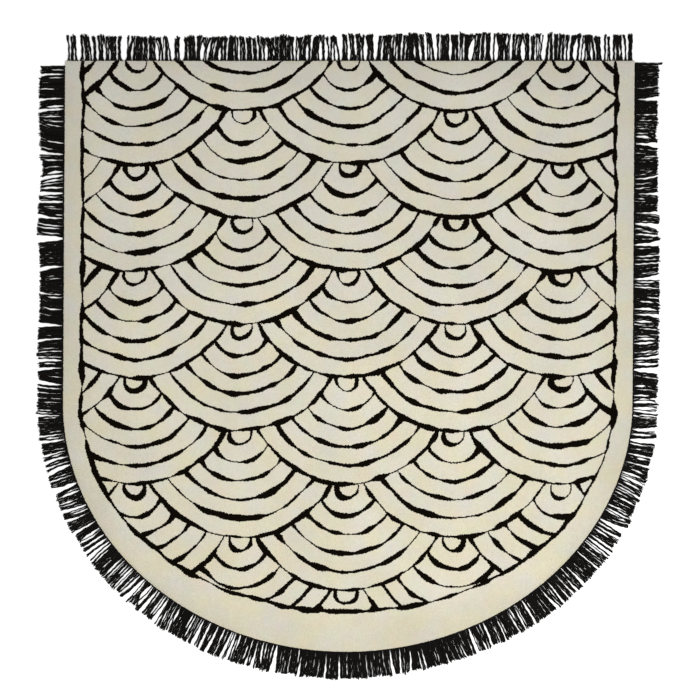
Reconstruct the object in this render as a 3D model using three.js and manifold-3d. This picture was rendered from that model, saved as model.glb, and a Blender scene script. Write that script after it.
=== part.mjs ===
// A tufted wool rug that lies flat: one pile body with a straight end, two straight sides and a
// round end, and a black yarn fringe sewn on in lengths all the way round its edge.
//
// Millimetres, +Z up. The floor is Z = 0, the straight end faces +Y and the round end -Y.

import * as THREE from 'three';
import { mergeVertices } from 'three/addons/utils/BufferGeometryUtils.js';
import Module from 'manifold-3d';

// Pile body
const WIDTH = 2000;
const STRAIGHT_SIDE = 1200;
const ROUND_END = 875;
const LEAN = 13; // how far the round end has drifted to the left
const THICKNESS = 12;
const EDGE_ROUND = 4; // round-over of the pile along the top edge
const EDGE_STEPS = 2;
const CORNER_RADIUS = 6;
const CORNER_STEPS = 2;

// Fringe: a heading strip along the edge, with flat locks of yarn fused into it
const GAP = 0.3; // between the pile's edge and the heading
const HEADING_WIDTH = { top: 3, other: 5 };
const HEADING_HEIGHT = 5;
const LOCK_HEIGHT = { root: 4.5, belly: 5, tip: 3 };
const LOCK_BEVEL = 2; // a lock's upper face is narrower than its lower one by this on each side
const NARROWEST_TOP = 0.5; // unless that leaves less than this share of it
const RUN_END_GAP = 0.15; // each run stops this far short of the next one
const LEFT_START = 16; // bare edge between the straight end and the left fringe
const RIGHT_START = 6;
const REACH = { top: 93, left: 89, farEnd: 98, right: 86 }; // fringe length along each edge

// The fringe of the round end is sewn on in equal lengths. It has opened up at the shoulders and
// lies closed at the far end.
const ROUND_RUNS = 6;
const STEPS_PER_RUN = 10;
const ROUND_OPENNESS = [1.05, 1.5, 0.7, 0.4, 0.65, 1.25];
const LOCKS = { top: 96, side: 36, roundRun: 22 };

// Between two locks, at their roots, bellies and tips. The straight end is combed more open.
const GAP_BETWEEN_LOCKS = {
  top: { root: 6, belly: 9.5, tip: 6 },
  other: { root: 3, belly: 6.5, tip: 6.5 },
};
const NARROWEST_LOCK = 0.45; // a lock keeps at least this share of its own stretch of the edge
const UNEVENNESS = { top: 0.6, other: 1 }; // how far the locks' stretches differ, 0 for equal ones

// The locks take their forms from this table. wide is a lock's stretch of the edge beside the usual
// one. root, belly and tip say how much of the usual gap it leaves there. reach is a share of the
// fringe length.
const LOCK_FORMS = [
  { wide: 0.9, root: 1.0, belly: 1.0, tip: 1.2, reach: 1.0 },
  { wide: 0.35, root: 0.8, belly: 0.9, tip: 0.8, reach: 0.97 },
  { wide: 1.7, root: 1.1, belly: 1.0, tip: 0.9, reach: 0.99 },
  { wide: 0.45, root: 1.2, belly: 1.0, tip: 1.0, reach: 0.98 },
  { wide: 0.8, root: 0.9, belly: 1.1, tip: 1.4, reach: 0.95 },
  { wide: 0.3, root: 0.8, belly: 0.8, tip: 0.8, reach: 1.0 },
  { wide: 1.3, root: 1.2, belly: 1.0, tip: 0.9, reach: 0.97 },
  { wide: 0.5, root: 0.9, belly: 0.9, tip: 0.8, reach: 0.99 },
  { wide: 2.9, root: 1.0, belly: 1.1, tip: 1.0, reach: 0.98 },
  { wide: 0.6, root: 0.9, belly: 0.9, tip: 1.0, reach: 1.0 },
  { wide: 1.2, root: 1.0, belly: 1.2, tip: 1.3, reach: 0.96 },
];

// Along a run the tips lean to and fro in these waves, and stand straight near its ends
const SWAYS = [{ lean: 7, wave: 310 }, { lean: 4, wave: 117 }];
const SWAY_FADE = 60;

const PILE_COLOUR = '#d8d3bd';
const YARN_COLOUR = '#17140f';
const WELD = 1e-4; // vertices closer than this are one vertex

const UP = new THREE.Vector3(0, 0, 1);
const HALF_WIDTH = WIDTH / 2;
const LENGTH = STRAIGHT_SIDE + ROUND_END;

const wasm = await Module();
wasm.setup();

// A point of the upright outline, moved sideways by the rug's lean
function leaned(x, y) {
  return new THREE.Vector3(x - (LEAN * (STRAIGHT_SIDE - y)) / LENGTH, y, 0);
}

// Half an ellipse, from the foot of the left side through the far end to the right side
class RoundEndCurve extends THREE.Curve {
  constructor() {
    super();
    this.arcLengthDivisions = 1200;
  }

  getPoint(t, target = new THREE.Vector3()) {
    const angle = Math.PI * (1 + t);
    return target.copy(leaned(HALF_WIDTH * Math.cos(angle), ROUND_END * Math.sin(angle)));
  }
}

// A stretch of another curve, between two shares of its length
class PartOfCurve extends THREE.Curve {
  constructor(whole, from, to) {
    super();
    this.whole = whole;
    this.from = from;
    this.to = to;
  }

  getPoint(t, target = new THREE.Vector3()) {
    return this.whole.getPointAt(THREE.MathUtils.lerp(this.from, this.to, t), target);
  }

  getTangent(t, target = new THREE.Vector3()) {
    return this.whole.getTangentAt(THREE.MathUtils.lerp(this.from, this.to, t), target);
  }
}

// Every edge is followed with the rug on the left hand, so that this points away from the rug
function outwardOf(tangent) {
  return new THREE.Vector3(tangent.y, -tangent.x, 0);
}

// The pile's outline as corner points with the direction in which each one shrinks
function pileOutline(roundEnd) {
  const stations = [];
  const addStation = (point, outward) => stations.push({ point, outward });

  const addCorner = (centreX, centreY, startAngle) => {
    for (let i = 0; i <= CORNER_STEPS; i += 1) {
      const angle = startAngle + (i / CORNER_STEPS) * (Math.PI / 2);
      const outward = new THREE.Vector3(Math.cos(angle), Math.sin(angle), 0);
      const point = leaned(centreX, centreY).addScaledVector(outward, CORNER_RADIUS);
      addStation(point, outward);
    }
  };

  const cornerX = HALF_WIDTH - CORNER_RADIUS;
  const cornerY = STRAIGHT_SIDE - CORNER_RADIUS;
  addCorner(cornerX, cornerY, 0);
  addCorner(-cornerX, cornerY, Math.PI / 2);

  const steps = ROUND_RUNS * STEPS_PER_RUN;
  for (let i = 0; i <= steps; i += 1) {
    addStation(roundEnd.getPointAt(i / steps), outwardOf(roundEnd.getTangentAt(i / steps)));
  }
  return stations;
}

// A closed body through rings of equal length, from the lowest ring to the highest
function loftRings(rings) {
  const count = rings[0].length;
  const positions = rings.flat().flatMap((point) => [point.x, point.y, point.z]);
  const index = [];
  for (let level = 0; level + 1 < rings.length; level += 1) {
    for (let i = 0; i < count; i += 1) {
      const a = level * count + i;
      const b = level * count + ((i + 1) % count);
      index.push(a, b, b + count, a, b + count, a + count);
    }
  }
  const top = (rings.length - 1) * count;
  const capFaces = (ring) => THREE.ShapeUtils.triangulateShape(
    ring.map((point) => new THREE.Vector2(point.x, point.y)),
    [],
  );
  capFaces(rings[0]).forEach(([a, b, c]) => index.push(a, c, b));
  capFaces(rings.at(-1)).forEach(([a, b, c]) => index.push(top + a, top + b, top + c));

  const geometry = new THREE.BufferGeometry();
  geometry.setAttribute('position', new THREE.Float32BufferAttribute(positions, 3));
  geometry.setIndex(index);
  return faceted(geometry);
}

function faceted(geometry) {
  const facets = geometry.toNonIndexed();
  facets.computeVertexNormals();
  return facets;
}

// Pile and backing in one: upright edge, then a round-over up to the level top
function pileGeometry(roundEnd) {
  const outline = pileOutline(roundEnd);
  const ringAt = (inset, height) => outline.map(({ point, outward }) => {
    const moved = point.clone().addScaledVector(outward, -inset);
    return moved.setZ(height);
  });

  const rings = [ringAt(0, 0)];
  for (let i = 0; i <= EDGE_STEPS; i += 1) {
    const angle = (i / EDGE_STEPS) * (Math.PI / 2);
    const inset = EDGE_ROUND * (1 - Math.cos(angle));
    const height = THICKNESS - EDGE_ROUND * (1 - Math.sin(angle));
    rings.push(ringAt(inset, height));
  }
  return loftRings(rings);
}

// The strip that the locks are fused into, just outside the pile's edge
function headingGeometry({ edge, steps, headingWidth }) {
  const inner = [];
  const outer = [];
  for (let i = 0; i <= steps; i += 1) {
    const point = edge.getPointAt(i / steps);
    const tangent = edge.getTangentAt(i / steps);
    const outward = outwardOf(tangent);
    if (i === 0) {
      point.addScaledVector(tangent, RUN_END_GAP);
    }
    if (i === steps) {
      point.addScaledVector(tangent, -RUN_END_GAP);
    }
    inner.push(point.clone().addScaledVector(outward, GAP));
    outer.push(point.clone().addScaledVector(outward, GAP + headingWidth));
  }
  const shape = new THREE.Shape([...outer, ...inner.reverse()]);
  return new THREE.ExtrudeGeometry(shape, { depth: HEADING_HEIGHT, bevelEnabled: false });
}

// Blends from root through belly to tip
function blend(t, { root, belly, tip }) {
  return t < 0.5
    ? THREE.MathUtils.lerp(root, belly, 2 * t)
    : THREE.MathUtils.lerp(belly, tip, 2 * t - 1);
}

// Each pass through the table takes the forms with another stride, so that no stretch repeats
function formOf(lock) {
  const count = LOCK_FORMS.length;
  const pass = Math.floor(lock / count);
  const stride = 1 + (pass % (count - 1));
  return LOCK_FORMS[((lock % count) * stride + pass) % count];
}

// How far the tips lean along the edge, at a distance from the start of a run
function swayAt(along, { firstLock, length }) {
  const fade = Math.min(1, along / SWAY_FADE, (length - along) / SWAY_FADE);
  const leans = SWAYS.map(({ lean, wave }) => lean * Math.sin((2 * Math.PI * along) / wave + firstLock));
  return fade * leans.reduce((sum, lean) => sum + lean, 0);
}

// The form of each lock, and where its stretch of the edge starts and ends
function layLocks({ locks, firstLock, unevenness, length }) {
  const forms = Array.from({ length: locks }, (_, i) => formOf(firstLock + i));
  const widths = forms.map((form) => THREE.MathUtils.lerp(1, form.wide, unevenness));
  const total = widths.reduce((sum, width) => sum + width, 0);
  let end = 0;
  return forms.map((form, i) => {
    const start = end;
    end += (widths[i] / total) * length;
    return { form, start, end };
  });
}

// One lock, flat on the floor: its root at the origin, its tip towards +Y and the next lock at -X
function lockGeometry({ form, start, end }, run, reach) {
  const geometry = new THREE.BoxGeometry(1, 1, 1, 1, 2, 1);
  geometry.translate(0, 0.5, 0.5);
  const position = geometry.attributes.position;
  for (let i = 0; i < position.count; i += 1) {
    const t = position.getY(i);
    const isUpper = position.getZ(i) > 0.5;
    const startLean = t * t * swayAt(start, run);
    const endLean = t * t * swayAt(end, run);
    const room = end + endLean - (start + startLean);
    const spare = run.openness * blend(t, run.gap) * blend(t, form);
    const foot = Math.max(room - spare, NARROWEST_LOCK * room);
    const crest = Math.max(foot - 2 * LOCK_BEVEL, NARROWEST_TOP * foot);
    const x = position.getX(i) * (isUpper ? crest : foot) - (startLean + endLean) / 2;
    position.setXYZ(i, x, t * reach * form.reach, isUpper ? blend(t, LOCK_HEIGHT) : 0);
  }
  return geometry;
}

function toSolid(geometry) {
  const bare = geometry.clone();
  bare.deleteAttribute('normal');
  bare.deleteAttribute('uv');
  const welded = mergeVertices(bare, WELD);
  return new wasm.Manifold(new wasm.Mesh({
    numProp: 3,
    vertProperties: welded.attributes.position.array,
    triVerts: new Uint32Array(welded.index.array),
  }));
}

function toGeometry(solid) {
  const mesh = solid.getMesh();
  const geometry = new THREE.BufferGeometry();
  geometry.setAttribute('position', new THREE.BufferAttribute(mesh.vertProperties, 3));
  geometry.setIndex(new THREE.BufferAttribute(mesh.triVerts, 1));
  return faceted(geometry);
}

// One length of fringe along an edge; reach is a function of the share along that edge
function fringeGeometry(shortRun) {
  const run = { ...shortRun, length: shortRun.edge.getLength() };
  const rootDepth = run.headingWidth / 2;
  let fringe = toSolid(headingGeometry(run));
  layLocks(run).forEach((lock) => {
    const share = (lock.start + lock.end) / 2 / run.length;
    const tangent = run.edge.getTangentAt(share);
    const outward = outwardOf(tangent);
    const root = run.edge.getPointAt(share).addScaledVector(outward, GAP + rootDepth);
    const place = new THREE.Matrix4().makeBasis(tangent.negate(), outward, UP).setPosition(root);
    const yarn = lockGeometry(lock, run, run.reach(share) - rootDepth);
    fringe = fringe.add(toSolid(yarn.applyMatrix4(place)));
  });
  return toGeometry(fringe);
}

function steady(reach) {
  return () => reach;
}

// Fringe length along the round end: it grows from each side towards the far end
function roundReach(share) {
  const side = THREE.MathUtils.lerp(REACH.left, REACH.right, share);
  return THREE.MathUtils.lerp(side, REACH.farEnd, Math.sin(Math.PI * share));
}

function fringeRuns(roundEnd) {
  const topX = HALF_WIDTH - CORNER_RADIUS;
  const topEdge = new THREE.LineCurve3(leaned(topX, STRAIGHT_SIDE), leaned(-topX, STRAIGHT_SIDE));
  const leftStart = leaned(-HALF_WIDTH, STRAIGHT_SIDE - LEFT_START);
  const leftEdge = new THREE.LineCurve3(leftStart, leaned(-HALF_WIDTH, 0));
  const rightEnd = leaned(HALF_WIDTH, STRAIGHT_SIDE - RIGHT_START);
  const rightEdge = new THREE.LineCurve3(leaned(HALF_WIDTH, 0), rightEnd);

  const settingsOf = (kind) => ({
    headingWidth: HEADING_WIDTH[kind],
    gap: GAP_BETWEEN_LOCKS[kind],
    unevenness: UNEVENNESS[kind],
  });
  const straight = { steps: 1, openness: 1 };
  const top = { ...settingsOf('top'), ...straight, locks: LOCKS.top, firstLock: 0 };
  const side = { ...settingsOf('other'), ...straight, locks: LOCKS.side };
  const left = { ...side, firstLock: 0 };
  const right = { ...side, firstLock: LOCKS.side };
  const runs = [
    { ...top, name: 'fringe_top', edge: topEdge, reach: steady(REACH.top) },
    { ...left, name: 'fringe_left', edge: leftEdge, reach: steady(REACH.left) },
    { ...right, name: 'fringe_right', edge: rightEdge, reach: steady(REACH.right) },
  ];
  for (let k = 0; k < ROUND_RUNS; k += 1) {
    runs.push({
      ...settingsOf('other'),
      name: `fringe_round_${k + 1}`,
      edge: new PartOfCurve(roundEnd, k / ROUND_RUNS, (k + 1) / ROUND_RUNS),
      steps: STEPS_PER_RUN,
      locks: LOCKS.roundRun,
      firstLock: (k + 1) * LOCKS.roundRun,
      openness: ROUND_OPENNESS[k],
      reach: (share) => roundReach((k + share) / ROUND_RUNS),
    });
  }
  return runs;
}

function namedMesh(name, geometry, colour, roughness) {
  const material = new THREE.MeshStandardMaterial({ color: colour, roughness, metalness: 0 });
  const mesh = new THREE.Mesh(geometry, material);
  mesh.name = name;
  return mesh;
}

function buildRug() {
  const rug = new THREE.Group();
  const roundEnd = new RoundEndCurve();
  rug.add(namedMesh('rug_pile', pileGeometry(roundEnd), PILE_COLOUR, 0.95));
  fringeRuns(roundEnd).forEach((run) => {
    rug.add(namedMesh(run.name, fringeGeometry(run), YARN_COLOUR, 0.85));
  });

  // The origin is the middle of the rug's box, on the floor
  const centre = new THREE.Box3().setFromObject(rug, true).getCenter(new THREE.Vector3());
  rug.position.set(-centre.x, -centre.y, 0);
  rug.updateMatrixWorld(true);
  return rug;
}

export default buildRug();
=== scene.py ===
"""A cream tufted wool rug with black lines and a black yarn fringe, laid flat on a floor."""
import math

import bpy
import numpy as np
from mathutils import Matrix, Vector, noise


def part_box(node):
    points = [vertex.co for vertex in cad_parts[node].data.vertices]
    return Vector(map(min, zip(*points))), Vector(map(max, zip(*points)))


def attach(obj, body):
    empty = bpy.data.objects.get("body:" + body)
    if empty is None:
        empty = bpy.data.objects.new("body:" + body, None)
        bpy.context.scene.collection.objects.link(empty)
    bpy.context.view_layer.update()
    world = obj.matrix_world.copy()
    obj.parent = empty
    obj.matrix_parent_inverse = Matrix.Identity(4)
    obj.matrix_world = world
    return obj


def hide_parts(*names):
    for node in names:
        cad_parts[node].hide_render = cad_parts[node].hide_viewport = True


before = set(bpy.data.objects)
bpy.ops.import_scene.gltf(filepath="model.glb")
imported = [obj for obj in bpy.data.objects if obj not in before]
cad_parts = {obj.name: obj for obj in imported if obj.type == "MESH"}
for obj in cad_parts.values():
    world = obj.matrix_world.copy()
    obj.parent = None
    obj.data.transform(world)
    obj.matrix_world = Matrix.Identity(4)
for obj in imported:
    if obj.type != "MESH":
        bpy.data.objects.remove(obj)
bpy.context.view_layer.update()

bl_info = {
    "name": "Fringed Tufted Rug",
    "version": (1, 0, 0),
    "blender": (4, 5, 0),
    "location": "View3D > Sidebar > Rug",
    "description": "Lays a tufted wool rug with a yarn fringe and sets a stage for it",
    "category": "Object",
}

PILE_LOW, PILE_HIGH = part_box("rug_pile")

# How finely each piece is meshed
PILE_COLUMNS = 230
PILE_ROWS = 240
EDGE_STEPS = 4  # rings of the round-over along the pile's top edge
YARN_SIDES = 5
YARN_STEPS = 11
HAIR_SIDES = 3
HEADING_SIDES = 8
HEADING_STEPS = 40
TUFT_SIDES = 6
ROUND_SAMPLES = 4001  # points that the length of the round end is measured by

# Edges that turn by more than this stay sharp
PILE_CREASE = math.radians(50)
RIM_CREASE = math.radians(65)
YARN_CREASE = math.radians(75)

WAVE_FADE = 0.125  # the pile's rises and falls die out over this length towards its edge
EDGE_SHADE_RUN = 0.16  # and this far in from the edge it has painted shade, a little darker
PAINTED_EDGE_SHADE = 0.925  # how dark the painted shade makes it at its edge, beside the middle
PAINTED_RIM_HIGHLIGHT = 1.16  # painted highlight: the rim's tufts are coloured lighter than the pile
RIM_RELIEF = 0.35  # the share of a rim tuft that stands proud of the sheet

# A tuft of the rim runs from the backing up and out, then level with the pile: how far out from the
# rug's edge its middle line is, how high as a share of the rim, and its radius in tuft spacings
RIM_TUFT = {
    "out": np.array([-0.0032, -0.0024, -0.0020, -0.0021]),
    "high": np.array([0.08, 0.42, 0.76, 0.94]),
    "radius": np.array([0.476, 0.56, 0.56, 0.3472]),
}
# How unlike one another the tufts are: their spacing as a share, their middle lines and tips in
# metres, and their size and tone beside the usual
TUFT_JITTER = {"spacing": 0.2, "out": 0.0005, "high": 0.0002, "sway": 0.0004, "beside": (0.92, 1.08)}

# The fringe is sewn on in runs. ends are shares of the edge that a run is on, first_lock is where
# it starts in the order of forms, and tail is how far the yarns at its last end hang past the others.
ROUND_RUNS = 6
ROUND_LOCKS = 22
RUNS = (
    {
        "node": "fringe_top", "edge": "top", "ends": (0, 1),
        "locks": 96, "first_lock": 0, "tail": 0.0,
    },
    {
        "node": "fringe_left", "edge": "left", "ends": (0, 1),
        "locks": 36, "first_lock": 0, "tail": 0.0,
    },
    {
        "node": "fringe_right", "edge": "right", "ends": (0, 1),
        "locks": 36, "first_lock": 36, "tail": 0.015,
    },
    *(
        {
            "node": f"fringe_round_{k + 1}", "edge": "round",
            "ends": (k / ROUND_RUNS, (k + 1) / ROUND_RUNS),
            "locks": ROUND_LOCKS, "first_lock": (k + 1) * ROUND_LOCKS, "tail": 0.0,
        }
        for k in range(ROUND_RUNS)
    ),
)

# How far the locks have parted beside the usual, at even steps along each edge. The right side runs
# up, the straight end to the left, the left side down and the round end to the right.
OPENNESS = {
    "top": (1.4, 1.3, 1.0, 1.05, 1.0, 1.3, 1.3),
    "left": (0.6, 1.3, 1.25, 1.0, 0.9),
    "right": (1.8, 0.9, 0.85, 0.5),
    "round": (0.7, 1.5, 1.25, 0.2, 0.45, 0.85, 1.5),
}

# How loosely the yarns of each edge lie, in metres: the width of the bundles that a lock falls
# into, how far two of them part, how far a lock's tip leans over, how far a yarn leaves its bundle,
# how far it waves to and fro, and how unevenly the tips end. cuts is the share of the lines between
# bundles where a slit opens, and fray is how much thicker a yarn is at its untwisted tip.
LOOSENESS = {
    "top": {
        "bundle": 0.0092, "cuts": 0.45, "slit": 0.0056, "lean": 0.0045, "stray": 0.0015,
        "crimp": 0.0010, "ragged": 0.0038, "fray": 0.7,
    },
    "left": {
        "bundle": 0.013, "cuts": 0.40, "slit": 0.0046, "lean": 0.0030, "stray": 0.0006,
        "crimp": 0.0006, "ragged": 0.0032, "fray": 0.2,
    },
    "right": {
        "bundle": 0.008, "cuts": 0.48, "slit": 0.0048, "lean": 0.0032, "stray": 0.0009,
        "crimp": 0.0009, "ragged": 0.0036, "fray": 0.3,
    },
    "round": {
        "bundle": 0.008, "cuts": 0.45, "slit": 0.0048, "lean": 0.0032, "stray": 0.0008,
        "crimp": 0.0008, "ragged": 0.0034, "fray": 0.25,
    },
}

# A slit between two bundles: where from root to tip it is widest, how far it reaches from there, and
# how wide it is beside the usual. Each has its least and its most.
SLIT = {"widest": (0.15, 0.9), "reach": (0.18, 0.55), "width": (0.3, 1.3)}
CUT_JITTER = 0.35  # how far the line between two bundles is from its even place, in bundles
WANDER = {"far": 0.0011, "turns": (0.5, 1.4)}  # and how far and often it wanders, root to tip

# Yarns stray from their bundles: spot is how far from its even place in a bundle a yarn starts, in
# yarns. The lower tails is, the more yarns stray far, and none strays over limit times the usual.
STRAY = {"spot": 0.25, "tails": 2.5, "limit": 5}
YARN_WAVE = {"far": 0.0008, "turns": 1.1}
CRIMP_WAVES = (0.022, 0.034)  # shortest and longest wave of a crimped bundle
CRIMP_SHIFT = 0.12  # how unlike its bundle's a yarn's own crimp starts, in waves
CRIMP_START = 0.25  # the share of a yarn, from its root, over which its crimp begins

# How each of these grows towards a yarn's tip, as a power of the way there
SWAY_POWER = 2
LEAN_POWER = 1.4
STRAY_POWER = 1.6
FRAY_POWER = 5

# The yarns lie in layers, each this many of their radii above the last, and weave between them.
# From the heading they drop this far over this length.
LAYERS = {"count": 3, "rise": 1.1, "weave": 0.3, "turns": 0.8}
DROP = {"far": 0.0016, "over": 0.01}

# How the tips were cut along each edge: by how much and in waves of what length, in metres, the
# fringe grows longer and shorter there, and at what angle the first wave starts.
TIP_WAVES = {
    "top": {"swell": 0.0055, "wave": 2.0, "start": 0.0},
    "left": {"swell": 0.0045, "wave": 0.45, "start": -0.4},
    "right": {"swell": 0.0060, "wave": 1.5, "start": 0.4},
    "round": {"swell": 0.0068, "wave": 1.47, "start": -2.2},
}
TIP_WAVE_FADE = 0.30  # the waves die out over this length towards the ends of an edge
LOCK_CUT, YARN_CUT = 0.6, 0.65  # how unevenly locks and single yarns end, of the edge's raggedness

# Between two locks, at their roots, bellies and tips, in metres. The straight end is combed more
# open. The lower rise is, the nearer to their roots the locks part. closing is the share of the
# gaps that shut again at the tips, where the locks overlap by a part of what the gap would be.
LOCK_GAPS = {
    "top": {
        "root": 0.0016, "belly": 0.0068, "tip": 0.0042, "rise": 0.5, "unevenness": 0.6,
        "closing": 0.35,
    },
    "other": {
        "root": 0.0014, "belly": 0.0054, "tip": 0.0064, "rise": 0.75, "unevenness": 1.0,
        "closing": 0.25,
    },
}
GAP_SPREAD = 0.65  # how unlike one another the gaps are, as a share of the usual one
TIP_OVERLAP = 0.3
NARROWEST_LOCK = 0.45  # a lock keeps at least this share of its own stretch of the edge

# The locks take their forms from this table. wide is a lock's stretch of the edge beside the usual
# one. root, belly and tip say how much of the usual gap it leaves there. reach is a share of the
# fringe length.
LOCK_FORMS = (
    {"wide": 0.9, "root": 1.0, "belly": 1.0, "tip": 1.2, "reach": 1.0},
    {"wide": 0.35, "root": 0.8, "belly": 0.9, "tip": 0.8, "reach": 0.97},
    {"wide": 1.7, "root": 1.1, "belly": 1.0, "tip": 0.9, "reach": 0.99},
    {"wide": 0.45, "root": 1.2, "belly": 1.0, "tip": 1.0, "reach": 0.98},
    {"wide": 0.8, "root": 0.9, "belly": 1.1, "tip": 1.4, "reach": 0.95},
    {"wide": 0.3, "root": 0.8, "belly": 0.8, "tip": 0.8, "reach": 1.0},
    {"wide": 1.3, "root": 1.2, "belly": 1.0, "tip": 0.9, "reach": 0.97},
    {"wide": 0.5, "root": 0.9, "belly": 0.9, "tip": 0.8, "reach": 0.99},
    {"wide": 2.9, "root": 1.0, "belly": 1.1, "tip": 1.0, "reach": 0.98},
    {"wide": 0.6, "root": 0.9, "belly": 0.9, "tip": 1.0, "reach": 1.0},
    {"wide": 1.2, "root": 1.0, "belly": 1.2, "tip": 1.3, "reach": 0.96},
)

# Along a run the tips lean to and fro in these waves, and stand straight near its ends
SWAYS = ({"lean": 0.007, "wave": 0.310}, {"lean": 0.004, "wave": 0.117})
SWAY_FADE = 0.06
TAIL_WIDTH = 0.006  # the yarns that hang past the others fill this much of a run's last end
TAIL_CUT = (0.8, 1.0)  # the share of the tail's length that each of them has

YARN_THICKNESS = (0.85, 1.15)  # thinnest and thickest yarn beside the usual
YARN_FLATNESS = 0.92  # a yarn's height beside its width
FILL_INSET = 0.8  # the share of a yarn's thickness that a bundle's sides leave free
FOOT_GAP = 0.0006  # the yarns of the straight end start on its flat heading, this far past the gap
HEADING_HEIGHT = 0.9  # of its width
HEADING_SHADE = 0.3  # how light its yarn is, from groove to crown
LIGHTEST_YARN = 0.8  # each yarn has a shade of its own, from 0 to this
TWIST_START = 0.1  # and its twist starts anywhere in this length

# A hair at a yarn's tip: how far back on the yarn it starts, its share of the longest, how far it
# turns aside in radians, its end's height beside its start's, and its radius at both. Its material
# takes it to have this length and shade.
HAIR = {
    "back": 0.003, "share": (0.3, 1.0), "turn": 0.65, "fall": 0.7, "radius": (0.0011, 0.0004),
    "length": 0.005, "shade": 0.3,
}

# Noise with soft forms, and noise with fibres in it
SOFT = {"Detail": 1.0, "Roughness": 0.5}
FIBROUS = {"Detail": 2.0, "Roughness": 0.7}


def linear(hex_colour):
    """An sRGB hex colour as linear red, green and blue."""
    channels = [int(hex_colour[i:i + 2], 16) / 255 for i in (1, 3, 5)]
    return tuple(c / 12.92 if c <= 0.04045 else ((c + 0.055) / 1.055) ** 2.4 for c in channels)


def length_prop(name, description, default):
    return bpy.props.FloatProperty(
        name=name, description=description, default=default, min=0.0, precision=4, unit="LENGTH"
    )


def colour_prop(name, description, hex_colour):
    return bpy.props.FloatVectorProperty(
        name=name, description=description, default=linear(hex_colour), size=3,
        min=0.0, max=1.0, subtype="COLOR",
    )


class RugSizes(bpy.types.PropertyGroup):
    """Sizes of the pile"""

    width: length_prop("Width", "The pile from side to side", 2.0)
    straight_side: length_prop("Straight side", "Length of each straight side", 1.2)
    round_end: length_prop("Round end", "Depth of the round end", 0.875)
    lean: length_prop("Lean", "How far the round end has drifted to the left", 0.013)
    height: length_prop("Height", "Pile and backing together", PILE_HIGH.z)
    edge_round: length_prop("Edge round-over", "Radius of the pile's top edge", 0.004)
    edge_fall: length_prop("Edge fall", "How much lower the pile lies at its edge", 0.0022)
    edge_run: length_prop("Edge run", "How far in from the edge the pile is lower", 0.024)
    waves: length_prop("Waves", "How far the top rises and falls", 0.0008)
    tuft: length_prop("Tuft spacing", "From one tuft of the pile to the next", 0.0028)
    rim_tuft: length_prop("Rim tuft spacing", "From one tuft of the rim to the next", 0.0034)


class FringeSizes(bpy.types.PropertyGroup):
    """Sizes of the fringe"""

    reach_top: length_prop("Length, straight end", "Fringe along the straight end", 0.0905)
    reach_left: length_prop("Length, left", "Fringe along the left side", 0.088)
    reach_far: length_prop("Length, far end", "Fringe at the middle of the round end", 0.0995)
    reach_right: length_prop("Length, right", "Fringe along the right side", 0.0865)
    longest: length_prop("Longest", "No yarn is longer, but for those at a loose end", 0.108)
    yarn: length_prop("Yarn", "Thickness of one yarn", 0.003)
    spacing: length_prop("Yarn spacing", "From one yarn of a bundle to the next", 0.0017)
    gap: length_prop("Gap", "Between the pile's edge and the heading", 0.0003)
    heading: length_prop("Heading", "Width of the sewn heading", 0.005)
    top_heading: length_prop("Heading, straight end", "Its width along the straight end", 0.003)
    corner: length_prop("Corner", "Bare edge beside each end of the straight end", 0.006)
    left_start: length_prop("Left start", "Bare edge above the left fringe", 0.016)
    right_start: length_prop("Right start", "Bare edge above the right fringe", 0.006)
    hair: length_prop("Hair", "Longest of the fine hairs at a yarn's tip", 0.009)
    seed: bpy.props.IntProperty(name="Seed", description="Order of the loose yarns", default=7)


class LinePattern(bpy.types.PropertyGroup):
    """Sizes of the tufted lines"""

    columns: bpy.props.FloatProperty(
        name="Scales", description="Scales side by side from border to border", default=2.5, min=1.0
    )
    ring_spacing: length_prop("Ring spacing", "From one arc to the next in a scale", 0.065)
    thin: length_prop("Thinnest", "Width of a line where it is thinnest", 0.005)
    thick: length_prop("Thickest", "Width of a line where it swells", 0.024)
    wobble: length_prop("Wobble", "How far a line strays from its arc", 0.006)
    side_margin: length_prop("Side margin", "Plain pile along the sides", 0.065)
    round_margin: length_prop("Round margin", "Plain pile at the far end", 0.138)


class RugColours(bpy.types.PropertyGroup):
    """Colours of the wool, the backing and the floor"""

    cream: colour_prop("Cream wool", "The pile's ground", "#b7b4a9")
    warm_cream: colour_prop("Warm cream wool", "Where the dye took yellower", "#b9b39d")
    black: colour_prop("Black wool", "The pile's lines", "#080502")
    # The yarn's crown and groove colours: the groove's dark is partly painted shade between its plies
    yarn: colour_prop("Fringe yarn", "The crown of a yarn's plies", "#1c1a18")
    groove: colour_prop("Yarn groove", "Between a yarn's plies", "#030303")
    backing: colour_prop("Backing cloth", "The cloth under the rug", "#c3b79d")
    floor: colour_prop("Floor", "The stage's floor", "#f4f4f4")


def node(tree, kind, inputs=(), **settings):
    """Adds a shader node with its settings and links.

    inputs come in order or by name. Each is a value, another node's output, or that node itself.
    """
    made = tree.nodes.new("ShaderNode" + kind)
    for name, value in settings.items():
        setattr(made, name, value)
    pairs = inputs.items() if isinstance(inputs, dict) else enumerate(inputs)
    for key, value in pairs:
        if isinstance(value, bpy.types.Node):
            value = next(output for output in value.outputs if output.enabled)
        if isinstance(value, bpy.types.NodeSocket):
            tree.links.new(value, made.inputs[key])
        else:
            made.inputs[key].default_value = value
    return made


def new_material(name):
    material = bpy.data.materials.new(name)
    material.use_nodes = True
    material.node_tree.nodes.clear()
    return material, material.node_tree


def rgba(colour):
    return (*colour, 1.0)


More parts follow.
